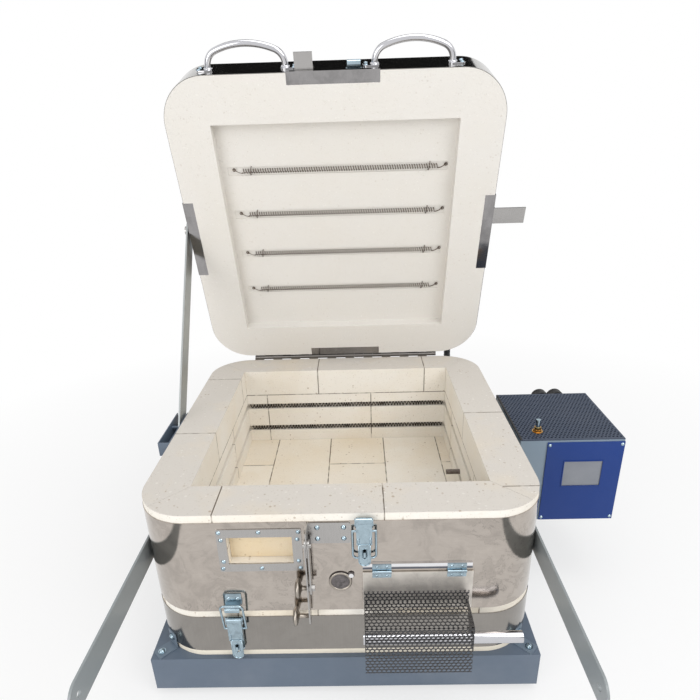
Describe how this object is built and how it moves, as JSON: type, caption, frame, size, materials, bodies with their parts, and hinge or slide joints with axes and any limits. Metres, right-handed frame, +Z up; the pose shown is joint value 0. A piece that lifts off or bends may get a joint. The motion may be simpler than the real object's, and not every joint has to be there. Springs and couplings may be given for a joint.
{
  "type": "bead annealing kiln",
  "caption": "Square top-loading kiln with a hinged lid held by a stay, a brick chamber in rounded steel jackets, a front flap for bead rods and a side controller box.",
  "frame": {"origin": "centre of the bounding box at the table, under the feet", "axes": "+X to the kiln's right seen from the front, where the controller box is; +Y to the back; +Z up; the front with the bead flap faces -Y"},
  "size_m": [0.771, 0.8735, 0.918],
  "materials": {
    "tray_paint": "satin",
    "box_paint": "satin",
    "guard_metal": "satin",
    "blue_paint": "gloss",
    "feet_rubber": "matte",
    "stainless": "brushed",
    "mirror_steel": "polished",
    "zinc": "bright",
    "alu": "satin",
    "board": "matte",
    "brick": "matte",
    "plug_brick": "matte",
    "fibre": "matte",
    "lid_coil": "dull",
    "wall_coil": "dull",
    "thermo": "dull",
    "black_plastic": "matte",
    "grey_plastic": "gloss",
    "green_board": "satin",
    "brass": "polished",
    "nickel": "satin",
    "conduit_black": "matte"
  },
  "bodies": {
    "base": {"base_tray": "tray_paint", "tray_feet": "feet_rubber", "corner_clips": "zinc", "base_board": "board", "floor_bricks": "brick", "base_jacket": "stainless", "base_hinge_leaves": "zinc", "lower_latch_base": "zinc"},
    "ring": {"ring_jacket": "stainless", "wall_front": "brick", "wall_back": "brick", "wall_left": "brick", "wall_right": "brick", "wall_elements": "wall_coil", "thermocouple": "thermo", "port_frame": "stainless", "ring_fasteners": "mirror_steel", "side_arms": "stainless", "stay_channel": "tray_paint", "vent_bracket": "alu", "top_latch_base": "zinc", "lower_keeper": "zinc", "door_header": "stainless", "door_hinge_upper": "zinc", "ring_hinge_leaf": "stainless", "ring_base_leaves": "zinc", "box_standoffs": "black_plastic", "box_case": "tray_paint", "box_cover": "box_paint", "faceplate": "blue_paint", "screen": "grey_plastic", "box_screws": "mirror_steel", "cable_glands": "black_plastic", "control_internals": "green_board", "switch_nut": "brass", "terminal_cover": "tray_paint", "conduit": "conduit_black"},
    "lid": {"lid_slab": "fibre", "lid_jacket": "stainless", "lid_clips": "alu", "lid_handles": "mirror_steel", "lid_elements": "lid_coil", "lid_hinge_leaf": "stainless", "lid_tabs": "alu", "latch_keeper": "zinc", "lid_terminal_covers": "tray_paint"},
    "stay": {"stay_arm": "stainless"},
    "door": {"door_panel": "mirror_steel", "door_guard": "guard_metal", "door_handle": "mirror_steel", "door_hinge_lower": "zinc"},
    "prop": {"vent_prop": "alu", "prop_knobs": "nickel"},
    "upper_lever": {"top_lever": "zinc"},
    "upper_bail": {"top_bail": "zinc"},
    "lower_lever": {"low_lever": "zinc"},
    "lower_bail": {"low_bail": "zinc"},
    "plunger": {"switch_plunger": "brass"},
    "cover": {"peep_cover": "guard_metal"},
    "plug": {"port_plug": "plug_brick"}
  },
  "joints": [
    {"name": "ring_hinge", "type": "hinge", "parent": "base", "child": "ring", "pos_m": [-0.0845, 0.331, 0.1535], "axis": [-1, 0, 0], "range_deg": [0, 60]},
    {"name": "lid_hinge", "type": "hinge", "parent": "ring", "child": "lid", "pos_m": [-0.0845, 0.331, 0.3273], "axis": [1, 0, 0], "range_deg": [0, 72], "deforming": ["conduit"]},
    {"name": "stay_pivot", "type": "hinge", "parent": "lid", "child": "stay", "pos_m": [-0.3705, 0.2538, 0.61765], "axis": [-1, 0, 0], "range_deg": [0, 128.3]},
    {"name": "door_hinge", "type": "hinge", "parent": "ring", "child": "door", "pos_m": [0.0205, -0.2434, 0.2303], "axis": [-1, 0, 0], "range_deg": [0, 95]},
    {"name": "prop_pivot", "type": "hinge", "parent": "ring", "child": "prop", "pos_m": [-0.1275, -0.2525, 0.2843], "axis": [-1, 0, 0], "range_deg": [0, 140]},
    {"name": "upper_lever_pivot", "type": "hinge", "parent": "ring", "child": "upper_lever", "pos_m": [-0.0515, -0.245, 0.3173], "axis": [-1, 0, 0], "range_deg": [0, 150]},
    {"name": "upper_bail_pivot", "type": "hinge", "parent": "upper_lever", "child": "upper_bail", "pos_m": [-0.0515, -0.244, 0.3003], "axis": [-1, 0, 0], "range_deg": [-151, 0]},
    {"name": "lower_lever_pivot", "type": "hinge", "parent": "base", "child": "lower_lever", "pos_m": [-0.2385, -0.245, 0.1498], "axis": [-1, 0, 0], "range_deg": [0, 150]},
    {"name": "lower_bail_pivot", "type": "hinge", "parent": "lower_lever", "child": "lower_bail", "pos_m": [-0.2385, -0.244, 0.1328], "axis": [-1, 0, 0], "range_deg": [-151, 0]},
    {"name": "plunger_slide", "type": "slide", "parent": "ring", "child": "plunger", "axis": [0, 0, -1], "range_m": [0, 0.004], "stiffness_N_per_m": 400, "springref_m": -0.002},
    {"name": "peephole_pivot", "type": "hinge", "parent": "ring", "child": "cover", "pos_m": [-0.0705, -0.239, 0.2233], "axis": [0, 1, 0], "range_deg": [0, 90]},
    {"name": "plug_slide", "type": "slide", "parent": "ring", "child": "plug", "axis": [0, -1, 0], "range_m": [0, 0.075]}
  ],
  "couplings": [
    {"joint": "stay_pivot", "follows": "lid_hinge", "ratio": 1.7679},
    {"joint": "upper_bail_pivot", "follows": "upper_lever_pivot", "ratio": -1},
    {"joint": "lower_bail_pivot", "follows": "lower_lever_pivot", "ratio": -1}
  ]
}
